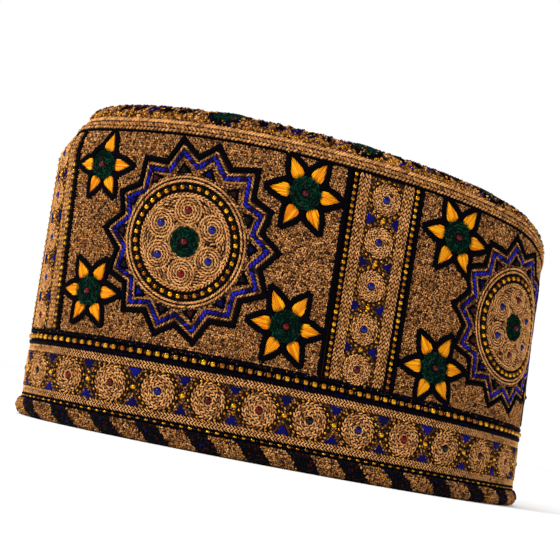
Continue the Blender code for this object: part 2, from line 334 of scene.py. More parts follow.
class Stitching:
    """Shapes gathered flat, with a tone for each shape and thread places for the material."""

    def __init__(self, material):
        self.points, self.faces, self.tones, self.threads = [], [], [], []
        self.finishes, self.count = [], 0
        self.finish = material

    def use(self, material):
        self.finish = material
        return self

    def add(self, points, faces, tones, threads):
        self.points.append(points)
        self.faces.append(faces + self.count)
        self.tones.append(tones)
        self.threads.append(threads)
        self.finishes += [self.finish] * len(faces)
        self.count += len(points)

    def strew(self, shape, rows, tone=(0.5, 0.22)):
        """Copies of a unit shape. Rows: along, height, lift, turn, long, wide, thick."""
        points, faces = shape
        rows = np.atleast_2d(np.asarray(rows, float))
        count, size = len(rows), len(points)
        cosines, sines = np.cos(rows[:, 3, None]), np.sin(rows[:, 3, None])
        far = points[None, :, 0] * rows[:, 4, None]
        wide = points[None, :, 1] * rows[:, 5, None]
        flat = np.stack([
            rows[:, 0, None] + far * cosines - wide * sines,
            rows[:, 1, None] + far * sines + wide * cosines,
            rows[:, 2, None] + points[None, :, 2] * rows[:, 6, None],
        ], axis=-1).reshape(-1, 3)
        offsets = np.arange(count)[:, None, None] * size
        copied = (faces[None, :, :] + offsets).reshape(-1, faces.shape[1])
        tones = np.clip(RNG.normal(tone[0], tone[1], count), 0.0, 1.0)
        shift = RNG.uniform(0.0, 40.0, (count, 1))
        threads = np.stack([far + shift, wide + shift], axis=-1).reshape(-1, 2)
        self.add(flat, copied, np.repeat(tones, size), threads)

    def put(self, finish, shape, place, lift, turn, size, tone):
        """One copy of a unit shape in its own finish, `size` long, wide and thick."""
        self.use(finish).strew(shape, [(place[0], place[1], lift, turn) + size], tone)

    def couch(self, path, width, height, closed=False, lift=0.0, step=1.6, tone=0.5,
              caps=True):
        """A laid satin line of rounded section along a path, with neat mitred corners."""
        places, mitres, run = mitred(path, closed, step)
        profile = np.array([(-1.0, -0.15), (-0.9, 0.5), (-0.5, 0.93), (-0.17, 1.0),
                            (0.17, 1.0), (0.5, 0.93), (0.9, 0.5), (1.0, -0.15)])
        rings, sides = len(places), len(profile)
        across = profile[None, :, 0] * 0.5 * width
        flat = np.concatenate([
            places[:, None, :] + mitres[:, None, :] * across[..., None],
            np.broadcast_to((lift + profile[:, 1] * height)[None, :, None], (rings, sides, 1)),
        ], axis=-1).reshape(-1, 3)
        threads = np.stack([
            np.broadcast_to(run[:, None], (rings, sides)),
            np.broadcast_to(across, (rings, sides)),
        ], axis=-1).reshape(-1, 2)
        faces = []
        for ring in range(rings if closed else rings - 1):
            here, there = ring * sides, ((ring + 1) % rings) * sides
            for side in range(sides):
                after = (side + 1) % sides
                faces.append((here + side, there + side, there + after, here + after))
        if caps and not closed:
            for start, order in ((0, 1), ((rings - 1) * sides, -1)):
                for side in range(1, sides - 2, 2):
                    quad = (start, start + side, start + side + 1, start + side + 2)
                    faces.append(quad[::order])
        self.add(flat, np.array(faces), np.full(len(flat), tone), threads)


def mitred(path, closed, step):
    """Points at most `step` apart along a path, with the sideways vector at each."""
    path = np.asarray(path, float)
    ends = np.roll(path, -1, axis=0) if closed else path[1:]
    starts = path if closed else path[:-1]
    places, corner = [], []
    for start, end in zip(starts, ends):
        pieces = max(1, int(math.ceil(np.hypot(*(end - start)) / step)))
        for piece in range(pieces):
            places.append(start + (end - start) * piece / pieces)
            corner.append(piece == 0)
    if not closed:
        places.append(path[-1])
        corner.append(True)
    places = np.array(places)
    ahead = np.roll(places, -1, axis=0) - places
    if not closed:
        ahead[-1] = ahead[-2]
    ahead /= np.linalg.norm(ahead, axis=1, keepdims=True)
    behind = np.roll(ahead, 1, axis=0)
    if not closed:
        behind[0] = ahead[0]
    middle = ahead + behind
    middle /= np.linalg.norm(middle, axis=1, keepdims=True)
    stretch = 1.0 / np.clip((middle * ahead).sum(axis=1), 0.66, 1.0)
    sideways = np.stack([-middle[:, 1], middle[:, 0]], axis=1) * stretch[:, None]
    gaps = np.linalg.norm(np.diff(places, axis=0), axis=1)
    return places, sideways, np.concatenate(([0.0], np.cumsum(gaps)))


def walk(path, pitch, closed=False, start=0.5):
    """Evenly spaced places along a path, each with its heading."""
    path = np.asarray(path, float)
    if closed:
        path = np.concatenate([path, path[:1]])
    gaps = np.linalg.norm(np.diff(path, axis=0), axis=1)
    run = np.concatenate(([0.0], np.cumsum(gaps)))
    count = max(1, int(round(run[-1] / pitch)))
    at = (np.arange(count) + start) * run[-1] / count
    along, height = np.interp(at, run, path[:, 0]), np.interp(at, run, path[:, 1])
    ahead = np.interp(at + 0.05, run, path[:, 0]) - np.interp(at - 0.05, run, path[:, 0])
    rise = np.interp(at + 0.05, run, path[:, 1]) - np.interp(at - 0.05, run, path[:, 1])
    return along, height, np.arctan2(rise, ahead)


def circle(centre, radius, radius_up=None, points=48):
    angles = np.arange(points) * TAU / points
    up = radius if radius_up is None else radius_up
    return np.stack([centre[0] + radius * np.cos(angles), centre[1] + up * np.sin(angles)], axis=1)


def polar(centre, radius, angles):
    """Places round a centre, by how far and at which angle."""
    places = (centre[0] + radius * np.cos(angles), centre[1] + radius * np.sin(angles))
    return np.stack(places, axis=-1)


def level(height):
    """A line right round the cap at one height."""
    return np.array([(0.0, height), (RIM_LENGTH, height)])


def rows_of(along, height, lift, turn, long, wide, thick, jitter=0.04):
    """Rows for Stitching.strew, with a hand's small unevenness in place and size."""
    count = len(along)
    spread = RNG.normal(0.0, 1.0, (4, count)) * jitter
    return np.stack([
        along + spread[0],
        height + spread[1],
        np.broadcast_to(lift, count),
        turn + spread[2] * 2.0,
        long * (1.0 + spread[3]),
        np.broadcast_to(wide, count) * (1.0 + spread[3]),
        np.broadcast_to(thick, count),
    ], axis=1)


def chain(work, path, width, closed=False, lift=0.25, pitch=None, slant=0.42, tone=(0.6, 0.24)):
    """Chain stitch: pairs of short strands that lean together along the path."""
    pitch = pitch or width * 0.95
    along, height, heading = walk(path, pitch, closed)
    for side in (-1.0, 1.0):
        off = 0.25 * width * side
        rows = rows_of(along - off * np.sin(heading), height + off * np.cos(heading), lift,
                       heading - side * slant, pitch * 1.3, width * 0.46, width * 0.5)
        work.strew(STRAND, rows, tone)


def rope(work, path, width, closed=False, lift=0.4, pitch=1.3, slant=0.75, tone=(0.6, 0.15),
         full=0.62, long=None):
    """A twisted cord: plump strands that cross it one after another."""
    along, height, heading = walk(path, pitch, closed)
    rows = rows_of(
        along, height, lift, heading + slant, long or pitch * 1.5, width * full, width * full, jitter=0.03)
    work.strew(STRAND, rows, tone)


def beads(work, path, pitch, size, closed=False, lift=0.5, shape=None, start=0.5, tone=(0.5, 0.25)):
    """Seed beads sewn in a row, each with its hole along the row."""
    along, height, heading = walk(path, pitch, closed, start)
    long, wide, thick = size
    rows = rows_of(along, height, lift, heading, long, wide, thick)
    work.strew(BEAD if shape is None else shape, rows, tone)


def bead_string(work, path, pitch, gold, black, lifts, closed=False, shape=None,
                tone=(0.5, 0.25)):
    """Gold beads in a row, with a smaller black one between each two."""
    beads(work.use("gold_glass"), path, pitch, gold, closed, lifts[0], shape, tone=tone)
    beads(work.use("black_glass"), path, pitch, black, closed, lifts[1], start=0.0)


def start_fresh():
    for thing in list(bpy.context.selected_objects):
        thing.select_set(False)


def take_shape(smooth_taper=0.0):
    """Points and triangles of the shape just modelled, which is then removed."""
    thing = bpy.context.object
    bpy.ops.object.transform_apply(location=True, rotation=True, scale=True)
    mesh = bmesh.new()
    mesh.from_mesh(thing.data)
    bmesh.ops.triangulate(mesh, faces=mesh.faces)
    points = np.array([tuple(vertex.co) for vertex in mesh.verts])
    corners = [[corner.index for corner in face.verts] for face in mesh.faces]
    faces = np.array(sorted(np.roll(face, -np.argmin(face)).tolist() for face in corners))
    mesh.free()
    if smooth_taper:
        points[:, 1:] *= 1.0 - smooth_taper * (points[:, 0:1] + 0.5)
    bpy.data.objects.remove(thing, do_unlink=True)
    return points, faces


def model_strand():
    """One stitch of cotton: a plump grain, a little thinner at the end that dips under."""
    start_fresh()
    bpy.ops.mesh.primitive_uv_sphere_add(
        segments=4, ring_count=3, radius=0.5, rotation=(0.0, math.pi / 2.0, 0.0))
    return take_shape(smooth_taper=0.3)


def model_grain():
    """A short stitch of the ground: two points and four sides, fewer faces than a strand."""
    start_fresh()
    bpy.ops.mesh.primitive_cone_add(
        vertices=4, radius1=0.5, radius2=0.0, depth=0.5, end_fill_type="TRIFAN",
        rotation=(0.0, math.pi / 2.0, 0.0))
    for vertex in bpy.context.object.data.vertices:
        under = vertex.co.z < 0.0
        if under and vertex.co.xy.length < 0.01:
            vertex.co.z -= 0.5
        vertex.co.z += 0.25
    return take_shape()


def model_knot():
    """One knot of thread, with the fewest faces that still look round."""
    start_fresh()
    bpy.ops.mesh.primitive_ico_sphere_add(subdivisions=1, radius=0.5)
    return take_shape()


def model_bead(segments, rings):
    """A seed bead with its hole along x, a little flat at both ends."""
    start_fresh()
    bpy.ops.mesh.primitive_uv_sphere_add(
        segments=segments, ring_count=rings, radius=0.5, rotation=(0.0, math.pi / 2.0, 0.0))
    points, faces = take_shape()
    points[:, 0] = np.clip(points[:, 0] * 1.25, -0.5, 0.5)
    return points, faces


def model_cut_bead():
    """A squarish bead with small bevels, as in the row over the braid."""
    start_fresh()
    bpy.ops.mesh.primitive_cube_add(size=1.0)
    bpy.ops.object.mode_set(mode="EDIT")
    bpy.ops.mesh.select_all(action="SELECT")
    bpy.ops.mesh.bevel(offset=0.2, segments=1, affect="EDGES")
    bpy.ops.object.mode_set(mode="OBJECT")
    return take_shape()


def model_cushion(outline, rise, shoulder):
    """A low cushion of satin stitches: a filled outline raised, then inset to a rounded top."""
    start_fresh()
    bpy.ops.mesh.primitive_circle_add(vertices=len(outline), radius=1.0, fill_type="NGON")
    thing = bpy.context.object
    for vertex, place in zip(thing.data.vertices, outline):
        vertex.co = (place[0], place[1], 0.0)
    bpy.ops.object.mode_set(mode="EDIT")
    bpy.ops.mesh.select_all(action="SELECT")
    bpy.ops.mesh.normals_make_consistent(inside=False)
    bpy.ops.mesh.extrude_region_move(TRANSFORM_OT_translate={"value": (0.0, 0.0, rise * 0.55)})
    bpy.ops.mesh.inset(thickness=shoulder, depth=rise * 0.33)
    bpy.ops.mesh.inset(thickness=shoulder * 1.3, depth=rise * 0.12)
    bpy.ops.mesh.select_all(action="SELECT")
    bpy.ops.mesh.normals_make_consistent(inside=False)
    bpy.ops.object.mode_set(mode="OBJECT")
    return take_shape()


STRAND = model_strand()
GRAIN = model_grain()
KNOT = model_knot()
BEAD = model_bead(6, 4)
ROUND_BEAD = model_bead(10, 7)
CUT_BEAD = model_cut_bead()
PETAL_OUTLINE = (
    (6.1, 1.2), (6.9, 2.25), (8.0, 2.5), (9.8, 1.9), (12.0, 0.9), (13.9, 0.1), (13.9, -0.1), (12.0, -0.9),
    (9.8, -1.9), (8.0, -2.5), (6.9, -2.25), (6.1, -1.2))
PETAL = model_cushion(PETAL_OUTLINE, 0.7, 0.35)
TRIANGLE = model_cushion(((-0.5, 0.0), (0.5, 0.0), (0.0, 1.0)), 0.5, 0.07)
DISC = model_cushion(circle((0.0, 0.0), 1.0, points=20), 0.5, 0.08)


def petal_floss():
    """How the floss of a petal lies: middle, sideways place and length of each strand."""
    half = np.array(PETAL_OUTLINE[:6])
    radii = np.linspace(half[0, 0], half[-1, 0], 60)
    widths = np.interp(radii, half[:, 0], half[:, 1])
    strands = []
    for sideways in np.arange(-2.1, 2.2, 0.525):
        under = radii[widths > abs(sideways) - 0.05]
        strands.append((0.5 * (under[0] + under[-1]), sideways, under[-1] - under[0] + 0.6))
    return np.array(strands)


FLOSS = petal_floss()


def colour(name):
    """A named sRGB colour as the linear RGBA that a shader expects."""
    code = COLOURS[name]
    channels = [int(code[place:place + 2], 16) / 255.0 for place in (1, 3, 5)]
    return [c / 12.92 if c <= 0.04045 else ((c + 0.055) / 1.055) ** 2.4 for c in channels] + [1.0]


def add_node(material, kind, settings=None, links=None):
    """One shader node with its settings, and its inputs set to values or linked to sockets."""
    node = material.node_tree.nodes.new(kind)
    for key, value in (settings or {}).items():
        setattr(node, key, value)
    for key, value in (links or {}).items():
        if isinstance(value, bpy.types.NodeSocket):
            material.node_tree.links.new(value, node.inputs[key])
        else:
            node.inputs[key].default_value = value
    return node


def new_material(name, **values):
    material = bpy.data.materials.new(name)
    material.use_nodes = True
    shader = material.node_tree.nodes["Principled BSDF"]
    for key, value in values.items():
        shader.inputs[key.replace("_", " ")].default_value = value
    return material, shader


def ramp(material, factor, stops):
    node = add_node(material, "ShaderNodeValToRGB", links={"Fac": factor})
    elements = node.color_ramp.elements
    while len(elements) < len(stops):
        elements.new(0.5)
    for element, (place, name) in zip(elements, stops):
        element.position = place
        element.color = colour(name)
    return node.outputs["Color"]


def thread_places(material, scale):
    """The piece's own thread map, in mm, scaled for a pattern."""
    source = add_node(material, "ShaderNodeUVMap", {"uv_map": "thread"})
    mapping = add_node(
        material, "ShaderNodeMapping", links={"Vector": source.outputs["UV"], "Scale": scale})
    return mapping.outputs["Vector"]


def spun_thread(name, stops, roughness, filament, gloss, relief, sheen):
    """Thread whose tone changes from stitch to stitch, with fine filaments along it.

    `filament` is their spacing in mm and its place along or across the thread's run.
    """
    material, shader = new_material(
        name, Roughness=roughness, Sheen_Weight=sheen, Sheen_Roughness=0.45, Specular_IOR_Level=gloss)
    tone = add_node(material, "ShaderNodeAttribute", {"attribute_name": "tone"})
    places = thread_places(material, (1.0 / filament[0], 1.0 / filament[1], 1.0))
    grain = add_node(material, "ShaderNodeTexNoise", links={
        "Vector": places, "Scale": 1.0, "Detail": 2.0, "Roughness": 0.6})
    mixed = add_node(
        material, "ShaderNodeMath", {"operation": "MULTIPLY_ADD"},
        links={0: grain.outputs["Fac"], 1: 0.5, 2: -0.25})
    total = add_node(
        material, "ShaderNodeMath", {"operation": "ADD", "use_clamp": True},
        links={0: tone.outputs["Fac"], 1: mixed.outputs[0]})
    shader_link(material, ramp(material, total.outputs[0], stops), shader, "Base Color")
    raise_relief(material, shader, grain.outputs["Fac"], relief, 0.12)
    return material


def shader_link(material, socket, shader, key):
    material.node_tree.links.new(socket, shader.inputs[key])


def raise_relief(material, shader, height, strength, distance):
    """Fine relief `distance` mm high in the shader's normal."""
    relief = add_node(material, "ShaderNodeBump", links={
        "Height": height, "Strength": strength, "Distance": distance * MM})
    shader_link(material, relief.outputs["Normal"], shader, "Normal")


def glass_bead(name, dark, light, roughness=0.14, metallic=0.0, gloss=0.2):
    """Pressed glass seed bead: deep colour, a hard shine, and each bead a little different."""
    material, shader = new_material(name, Roughness=roughness, Metallic=metallic, Specular_IOR_Level=gloss)
    tone = add_node(material, "ShaderNodeAttribute", {"attribute_name": "tone"})
    base = ramp(material, tone.outputs["Fac"], ((0.1, dark), (0.9, light)))
    shader_link(material, base, shader, "Base Color")
    return material


TAN = ((0.0, "tan_shadow"), (0.2, "tan_dark"), (0.52, "tan"), (0.95, "tan_light"))
GROUND_TAN = ((0.0, "tan_shadow"), (0.2, "tan_dark"), (0.55, "tan"), (1.0, "tan_light"))
THREADS = {
    # Key: real name, tones, roughness, filaments in mm along and across, gloss, relief, sheen
    # Matt spun cotton: soft tan grains, dull, paler where the strand is full
    "tan_cotton": ("tan_cotton_chain_stitch", TAN, 0.78, (1.4, 0.22), 0.15, 0.5, 0.04),
    # The same cotton worked as short rice stitches, darker and rougher
    "tan_ground": ("tan_cotton_rice_stitch", GROUND_TAN, 0.85, (1.0, 0.3), 0.15, 0.5, 0.04),
    # Three-ply cotton braid: the palest tan, with clear shadows between its strands
    "tan_braid": ("tan_cotton_braid", TAN, 0.7, (1.6, 0.25), 0.15, 0.5, 0.04),
    # Twisted cord at the seam, a little worn and dusty along its crest
    "tan_cord": ("tan_cotton_twisted_cord", TAN, 0.8, (1.2, 0.3), 0.15, 0.5, 0.04),
    # Short black stitches with a navy cast, duller than the laid silk
    "black_knots": ("black_cotton_rice_stitch", ((0.1, "black_thread"), (0.95, "black_sheen")),
                    0.7, (0.8, 0.4), 0.05, 0.5, 0.0),
    # Laid black silk: nearly black with a faint blue cast across the line
    "black_silk": ("black_silk_satin_stitch", ((0.2, "black_thread"), (0.9, "black_sheen")),
                   0.6, (0.7, 3.0), 0.01, 1.0, 0.0),
    # Laid silk in strong blue, with a soft shine along the line
    "blue_silk": ("blue_silk_satin_stitch", ((0.15, "navy"), (0.5, "blue"), (0.95, "blue_light")),
                  0.5, (0.5, 2.0), 0.06, 0.5, 0.0),
    # The same silk in navy, for triangles and flecks
    "navy_silk": ("navy_silk_satin_stitch", ((0.1, "navy"), (0.9, "navy_light")),
                  0.5, (0.35, 2.5), 0.04, 0.9, 0.0),
    # Dark red silk, black at its folds
    "maroon_silk": ("maroon_silk_satin_stitch", ((0.1, "black_thread"), (0.9, "maroon")),
                    0.5, (0.35, 2.5), 0.08, 0.5, 0.0),
    # Yellow silk petals: orange at the folds, bright where the light runs along the floss
    "yellow_silk": ("yellow_silk_satin_stitch",
                    ((0.1, "orange"), (0.45, "yellow"), (0.9, "yellow_light")),
                    0.5, (3.0, 0.35), 0.08, 0.5, 0.0),
    # Bottle-green wool knots: dark and fuzzy
    "green_wool": ("green_wool_knots", ((0.2, "green"), (0.9, "green_light")),
                   0.9, (0.6, 0.6), 0.05, 0.5, 0.0),
}
BEAD_GLASS = {
    # Key: real name, dark and light tone. Pressed glass in deep colours
    "red_glass": ("dark_red_glass_bead", "bead_black", "bead_red"),
    "blue_glass": ("blue_glass_bead", "navy", "bead_blue"),
    "pink_glass": ("garnet_glass_bead", "bead_red", "bead_pink"),
    "black_glass": ("black_glass_bead", "bead_black", "black_sheen"),
    # Silver-lined amber glass, which shines like metal: roughness, metal, gloss
    "gold_glass": ("gold_lined_glass_bead", "gold_deep", "gold", 0.22, 0.75, 0.4),
}


def make_materials():
    """All finishes of the cap, each named for the real one."""
    made = {key: spun_thread(*thread) for key, thread in THREADS.items()}
    made.update({key: glass_bead(*glass) for key, glass in BEAD_GLASS.items()})
    # Knotted crown cloth, with painted shade in the gaps between knots and painted highlight on their
    # crests
    made["crown_cloth"] = knotted_cotton("tan_cotton_knotted_crown_painted_shade", 1.3)
    # Plain weaves: the backing cloth under the stitches, painted dark brown as the shade between them, the
    # inside and the hem
    made["backing"] = woven_cotton("brown_cotton_backing_painted_shade", "tan_shadow", "backing_brown_painted_shade", 0.9, 0.9)
    made["inside"] = woven_cotton("plain_woven_cotton_inside", "tan", "cotton_inside", 0.9, 0.7)
    made["black_backing"] = woven_cotton("black_cotton_backing", "black_thread", "black_sheen", 0.85, 0.8)
    return made


def knotted_cotton(name, knot):
    """Cloth covered with small knots `knot` mm across: painted highlight on their crests and painted shade
    in the gaps between them.
    """
    material, shader = new_material(name, Roughness=0.9, Sheen_Weight=0.04, Specular_IOR_Level=0.08)
    places = add_node(material, "ShaderNodeTexCoord").outputs["Object"]
    gaps = add_node(
        material, "ShaderNodeTexVoronoi", {"feature": "F1"},
        {"Vector": places, "Scale": 1.0 / (knot * MM), "Randomness": 0.9})
    crest = add_node(
        material, "ShaderNodeMath", {"operation": "SUBTRACT", "use_clamp": True},
        {0: 1.0, 1: gaps.outputs["Distance"]})
    uneven = add_node(material, "ShaderNodeTexNoise", links={
        "Vector": places, "Scale": 0.4 / (knot * MM), "Detail": 2.0})
    tone = add_node(
        material, "ShaderNodeMath", {"operation": "MULTIPLY"},
        {0: crest.outputs[0], 1: uneven.outputs["Fac"]})
    # Colour follows the knots' relief: painted shade darkens the gaps and painted highlight lightens the
    # crests
    stops = ((0.1, "tan_shadow"), (0.22, "tan_dark"), (0.36, "tan"), (0.6, "tan_light"))
    shader_link(material, ramp(material, tone.outputs[0], stops), shader, "Base Color")
    raise_relief(material, shader, crest.outputs[0], 0.9, 0.4)
    return material


def woven_cotton(name, dark, light, roughness, thread):
    """Plain woven cotton: two sets of threads `thread` mm apart, over and under, with painted shade where
    the threads dip under.
    """
    material, shader = new_material(name, Roughness=roughness, Sheen_Weight=0.05, Specular_IOR_Level=0.05)
    places = thread_places(material, (1.0 / thread, 1.0 / thread, 1.0))
    waves = []
    for direction in ("X", "Y"):
        waves.append(add_node(material, "ShaderNodeTexWave", {"bands_direction": direction},
                              {"Vector": places, "Scale": 0.5, "Distortion": 0.6}))
    woven = add_node(
        material, "ShaderNodeMath", {"operation": "MULTIPLY"},
        {0: waves[0].outputs["Fac"], 1: waves[1].outputs["Fac"]})
    # Colour follows the weave's relief: painted shade in its dips and painted highlight on its tops
    shader_link(
        material, ramp(material, woven.outputs[0], ((0.0, dark), (0.9, light))), shader, "Base Color")
    raise_relief(material, shader, woven.outputs[0], 0.6, 0.2)
    return material


MATERIALS = make_materials()


def place_piece(name, work, onto=onto_wall, replaced=(), merge=False):
    """Wrap gathered stitching onto the cap as one named piece that rides with it."""
    points = onto(np.concatenate(work.points))
    mesh = bpy.data.meshes.new(name)
    faces = [face for block in work.faces for face in block.tolist()]
    mesh.from_pydata(points.tolist(), [], faces)
    tones = np.concatenate(work.tones).astype(np.float32)
    mesh.attributes.new("tone", "FLOAT", "POINT").data.foreach_set("value", tones)
    threads = np.concatenate(work.threads).astype(np.float32)
    corners = np.zeros(len(mesh.loops), dtype=np.int32)
    mesh.loops.foreach_get("vertex_index", corners)
    mesh.uv_layers.new(name="thread").data.foreach_set("uv", threads[corners].ravel())
    used = sorted(set(work.finishes))
    for finish in used:
        mesh.materials.append(MATERIALS[finish])
    mesh.polygons.foreach_set("material_index", [used.index(finish) for finish in work.finishes])
    mesh.shade_smooth()
    if merge:
        shell = bmesh.new()
        shell.from_mesh(mesh)
        bmesh.ops.remove_doubles(shell, verts=shell.verts, dist=0.00001)
        shell.to_mesh(mesh)
        shell.free()
    mesh.update()
    piece = bpy.data.objects.new(name, mesh)
    bpy.context.scene.collection.objects.link(piece)
    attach(piece, "root")
    if replaced:
        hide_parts(*replaced)
    return piece


def grid_points(columns, rows):
    """A flat grid, modelled once for a cloth: places from 0 to 1 both ways, and its faces."""
    start_fresh()
    bpy.ops.mesh.primitive_grid_add(x_subdivisions=columns, y_subdivisions=rows, size=1.0)
    thing = bpy.context.object
    places = np.array([tuple(vertex.co) for vertex in thing.data.vertices])[:, :2] + 0.5
    faces = np.array([tuple(face.vertices) for face in thing.data.polygons])
    bpy.data.objects.remove(thing, do_unlink=True)
    return places, faces


def lay_cloth(work, profile, columns=216):
    """Cloth that follows a profile of heights and lifts, right round the cap."""
    profile = np.asarray(profile, float)
    places, faces = grid_points(columns, len(profile) - 1)
    step = places[:, 1] * (len(profile) - 1)
    whole = np.arange(len(profile))
    along = places[:, 0] * RIM_LENGTH
    height = np.interp(step, whole, profile[:, 0])
    lift = np.interp(step, whole, profile[:, 1])
    run = np.concatenate(([0.0], np.cumsum(np.hypot(*np.diff(profile, axis=0).T))))
    threads = np.stack([along, np.interp(step, whole, run)], axis=1)
    flat = np.stack([along, height, lift], axis=1)
    work.add(flat, faces, np.full(len(along), 0.5), threads)


def make_wall():
    """The wall's cloth: backing outside, dark brown as painted shade between the stitches, plain cotton
    inside, closed at both edges.
    """
    low = HEM_TOP - 0.5
    heights = np.linspace(low, WALL_TOP, 20)
    work = Stitching("backing")
    lay_cloth(work, [(height, 0.0) for height in heights])
    work.use("inside")
    lay_cloth(work, [(WALL_TOP, 0.0)] + [(height, -WALL_THICK) for height in heights[::-1]] + [(low, 0.0)])
    cloth = place_piece("wall_cloth", work, replaced=("side_wall",), merge=True)


def make_crown():
    """The crown's cloth: knotted work outside, plain cotton inside, turned over at its foot."""
    climbs = np.concatenate([np.linspace(0.0, 12.0, 11), np.linspace(15.0, CROWN_TOP, 16)])
    work = Stitching("crown_cloth")
    lay_cloth(work, [(climb, 0.0) for climb in climbs])
    work.use("inside")
    lay_cloth(work, [(climb, -CROWN_THICK) for climb in climbs[::-1]] + [(0.0, 0.0)])
    crown = place_piece(
        "crown_cloth", work, onto=onto_crown, replaced=("crown",), merge=True)


# Lift and height round the padded hem, from its foot outside, over the top and down inside
HEM_OUTSIDE = (
    (-1.9, 0.0), (-0.2, 0.45), (1.2, 1.4), (2.0, 2.5), (2.4, 3.7), (2.3, 4.9), (1.8, 6.1), (1.0, 7.0))
HEM_INSIDE = (
    (0.0, 7.3), (-1.4, 7.3), (-2.7, 7.0), (-3.3, 5.6), (-3.5, 3.6), (-3.4, 1.4), (-3.1, 0.3), (-2.7, 0.0))


def hem_lift(height):
    outside = np.array(HEM_OUTSIDE)
    return np.interp(height, outside[:, 1], outside[:, 0])


def on_hem_leaf(along, height):
    """Which places lie on the slanting leaves of the hem, whose edges bow to the right going down."""
    down = (7.0 - height) / 7.0
    place = np.mod(along - HEM_LEAF_START, HEM_LEAF_PITCH)
    left = 6.6 * down + 0.7 * np.sin(math.pi * down)
    right = 10.9 + 6.9 * down ** 0.8
    leaf = (place > left) & (place < right)
    return leaf | ((place + HEM_LEAF_PITCH > left) & (place + HEM_LEAF_PITCH < right))


def make_hem():
    """The padded hem: black cotton rolled under, with leaves of knotted tan thread."""
    section = np.array(HEM_OUTSIDE + HEM_INSIDE + HEM_OUTSIDE[:1])
    work = Stitching("black_backing")
    lay_cloth(work, section[:, ::-1])
    roll = place_piece("hem_padding", work, replaced=("hem_roll",), merge=True)
    leaves, gaps = Stitching("tan_ground"), Stitching("black_knots")
    along, height = hexagonal(0.0, RIM_LENGTH, 0.35, 7.2, 0.9)
    height = np.clip(height, 0.3, 7.0)
    leaf = on_hem_leaf(along, height)
    turn = RNG.uniform(0.0, TAU, len(along))
    rows = rows_of(along, height, hem_lift(height) + 0.15, turn, 1.5, 0.9, 0.9)
    leaves.strew(GRAIN, rows[leaf], (0.42, 0.23))
    glints = leaf & (RNG.random(len(along)) < 0.1)
    leaves.use("gold_glass").strew(
        GRAIN, rows[glints] * (1, 1, 1, 1, 0.6, 0.8, 0.9) + (0, 0, 0.3, 0, 0, 0, 0), (0.6, 0.2))
    along, height = hexagonal(0.0, RIM_LENGTH, 0.35, 7.2, 1.2)
    height = np.clip(height, 0.3, 7.0)
    rows = rows_of(along, height, hem_lift(height), RNG.uniform(0.0, TAU, len(along)), 1.9, 1.2, 1.0)
    gap = ~on_hem_leaf(along, height)
    gaps.strew(GRAIN, rows[gap], (0.5, 0.3))
    for finish, share in (("maroon_silk", 0.3), ("navy_silk", 0.08)):
        flecks = gap & (RNG.random(len(along)) < share)
        gaps.use(finish).strew(
            GRAIN, rows[flecks] * (1, 1, 1, 1, 0.8, 0.7, 0.9) + (0.3, 0, 0.2, 0, 0, 0, 0), (0.5, 0.3))
    place_piece("hem_leaf_stitches", leaves)
    place_piece("hem_ground_stitches", gaps)


def make_lower_bead_row():
    """Gold and black beads between two thin laid lines, just over the hem."""
    work = Stitching("black_silk")
    for height, width in ((7.55, 0.9), (8.95, 0.8)):
        work.couch(level(height), width, 0.7, caps=False, lift=0.15, step=2.0)
    bead_string(work, level(LOWER_BEADS), RIM_LENGTH / LOWER_BEAD_COUNT, (1.7, 1.05, 1.05),
                (1.3, 0.8, 0.8), (0.45, 0.35))
    place_piece("lower_bead_row", work, replaced=("bead_row_lower",), merge=True)


def make_braids():
    """Two plaited braids: three rows of slanted strands that lean by turns."""
    for name, (low, high), node in (
        ("lower_braid_strands", LOWER_BRAID, "braid_lower"),
        ("upper_braid_strands", UPPER_BRAID, "braid_upper"),
    ):
        work = Stitching("tan_braid")
        step = (high - low) / 3.0
        for row in range(3):
            slant = 0.6 if row % 2 else -0.6
            rope(work, level(low + (row + 0.5) * step), step, lift=0.5, pitch=1.35, slant=slant,
                 tone=(0.8, 0.22), full=0.68)
        place_piece(name, work, replaced=(node,))


def make_rosette(work, centre, rings, width):
    """Chain stitch in rings, on a low cushion of the darkest tan, painted shade in the gaps between the
    rings.
    """
    reach = rings[-1] + 0.5 * width
    # The cushion's near-black tone is painted shade that shows between the rings
    work.put("tan_cotton", DISC, centre, 0.0, 0.0, (reach * 0.97, reach * 0.97, 0.8), (0.0, 0.0))
    for radius in rings:
        chain(work, circle(centre, radius), width, closed=True, lift=0.65, tone=(0.68, 0.24))


def ring_of_beads(sewn, centre, radius, radius_up, gold_count, gold_size, black_size):
    """Gold beads round a rosette, with a black one between each two."""
    path = circle(centre, radius, radius_up, 72)
    pitch = TAU * 0.5 * (radius + radius_up) / gold_count
    gold = (gold_size, gold_size * 0.95, gold_size)
    bead_string(sewn, path, pitch, gold, (black_size,) * 3, (0.45, 0.35), closed=True)


